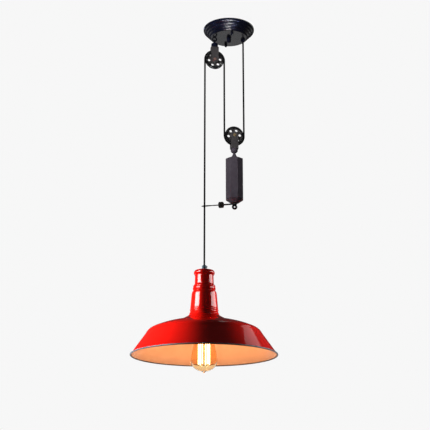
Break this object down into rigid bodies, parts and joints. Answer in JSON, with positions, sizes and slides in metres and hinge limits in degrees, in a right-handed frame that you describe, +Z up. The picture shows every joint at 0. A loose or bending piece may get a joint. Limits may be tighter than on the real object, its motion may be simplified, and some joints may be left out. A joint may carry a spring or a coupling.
{
  "type": "rise and fall pendant lamp",
  "caption": "Red enamelled pendant lamp on a black flex that runs over a ceiling pulley and under a counterweight pulley, so the lamp stays at any height.",
  "frame": {"origin": "centre of the mounting bar's top face, on the ceiling plane", "axes": "+Z up into the ceiling; the cord loop lies in the XZ plane with the lamp at the -X end and the cord's fixed end at +X"},
  "size_m": [0.36, 0.36, 0.927],
  "materials": {
    "zinc_steel": "zinc plated steel",
    "black_enamel": "satin black enamel",
    "black_steel": "black oxide steel",
    "wheel_enamel": "satin black enamel, edges worn grey",
    "copper_rivet": "reddish brass, riveted",
    "brass": "plain brass",
    "black_flex": "black textile braided flex",
    "block_plastic": "white moulded plastic",
    "weight_iron": "black enamel on cast iron",
    "grey_nylon": "blue-grey moulded plastic",
    "red_enamel": "gloss red enamel outside, white inside the shade",
    "porcelain": "glazed porcelain, cream",
    "bulb_metal": "bare aluminium",
    "black_glass": "black glass",
    "amber_glass": "clear glass with an amber tint",
    "clear_glass": "clear glass",
    "filament": "coated filament sticks, lit"
  },
  "bodies": {
    "ceiling_rose": {"mounting_bar": "zinc_steel", "bar_studs": "zinc_steel", "centre_stud": "zinc_steel", "centre_stud_nut": "zinc_steel", "rose_cover": "black_enamel", "cap_nuts": "black_enamel", "centre_finial": "black_enamel", "pulley_hook": "black_steel", "hook_nut": "zinc_steel", "rose_cord_grip": "black_enamel", "grip_nut": "zinc_steel", "terminal_block": "block_plastic", "terminal_screws": "brass", "cord_in_rose": "black_flex", "upper_swivel_eye": "black_steel", "upper_cap": "black_enamel", "upper_strap": "black_enamel", "upper_axle": "copper_rivet", "upper_washers": "zinc_steel", "cord_over_wheel": "black_flex"},
    "upper_pulley": {"upper_wheel": "wheel_enamel", "upper_bush": "brass"},
    "lower_pulley": {"lower_wheel": "wheel_enamel", "lower_bush": "brass"},
    "weight": {"lower_strap": "black_enamel", "lower_axle": "brass", "lower_washers": "zinc_steel", "lower_cap": "black_enamel", "swivel_stud": "zinc_steel", "weight_collar": "black_enamel", "counterweight": "weight_iron", "foot_eye_bolt": "black_steel", "arm_tube": "black_steel", "cord_under_wheel": "black_flex", "cord_between_wheels": "black_flex", "cord_to_rose": "black_flex"},
    "guide": {"guide_eye": "black_steel"},
    "arm_lock": {"lock_collar": "black_steel"},
    "lamp": {"cord_to_lamp": "black_flex", "lamp_cord_grip": "grey_nylon", "grip_screw": "grey_nylon", "neck": "red_enamel", "lamp_nipple": "zinc_steel", "nipple_nuts": "zinc_steel", "cord_in_lamp": "black_flex", "holder_cap": "porcelain", "holder_body": "porcelain", "holder_insert": "porcelain", "holder_contact": "brass", "screw_shell": "brass", "shade_ring": "porcelain", "shade": "red_enamel"},
    "bulb": {"bulb_contact": "bulb_metal", "bulb_insulator": "black_glass", "bulb_cap": "bulb_metal", "bulb_glass": "amber_glass", "bulb_stem": "clear_glass", "filament_sticks": "filament", "filament_wires": "bulb_metal"}
  },
  "joints": [
    {"name": "lamp_slide", "type": "slide", "parent": "ceiling_rose", "child": "lamp", "axis": [0, 0, 1], "range_m": [-0.4, 0.09], "deforming": ["cord_to_lamp"]},
    {"name": "weight_slide", "type": "slide", "parent": "ceiling_rose", "child": "weight", "axis": [0, 0, 1], "range_m": [-0.045, 0.2], "deforming": ["cord_between_wheels", "cord_to_rose"]},
    {"name": "upper_wheel_spin", "type": "hinge", "parent": "ceiling_rose", "child": "upper_pulley", "pos_m": [-0.03938, 0, -0.094], "axis": [0, 1, 0], "range_deg": [-873.2, 196.6]},
    {"name": "lower_wheel_spin", "type": "hinge", "parent": "weight", "child": "lower_pulley", "pos_m": [0.01312, 0, -0.306], "axis": [0, 1, 0], "range_deg": [-98.4, 436.7]},
    {"name": "guide_slide", "type": "slide", "parent": "weight", "child": "guide", "axis": [-0.9903, 0, -0.1392], "range_m": [-0.0015, 0.005]},
    {"name": "lock_turn", "type": "hinge", "parent": "weight", "child": "arm_lock", "pos_m": [0.01312, 0, -0.4931], "axis": [-0.9903, 0, -0.1392], "range_deg": [0, 270]},
    {"name": "bulb_turn", "type": "hinge", "parent": "lamp", "child": "bulb", "pos_m": [-0.06563, 0, -0.8], "axis": [0, 0, 1], "range_deg": [0, 360]}
  ],
  "couplings": [
    {"joint": "weight_slide", "follows": "lamp_slide", "ratio": -0.5},
    {"joint": "upper_wheel_spin", "follows": "lamp_slide", "rad_per_m": 38.095},
    {"joint": "lower_wheel_spin", "follows": "lamp_slide", "rad_per_m": -19.048}
  ]
}
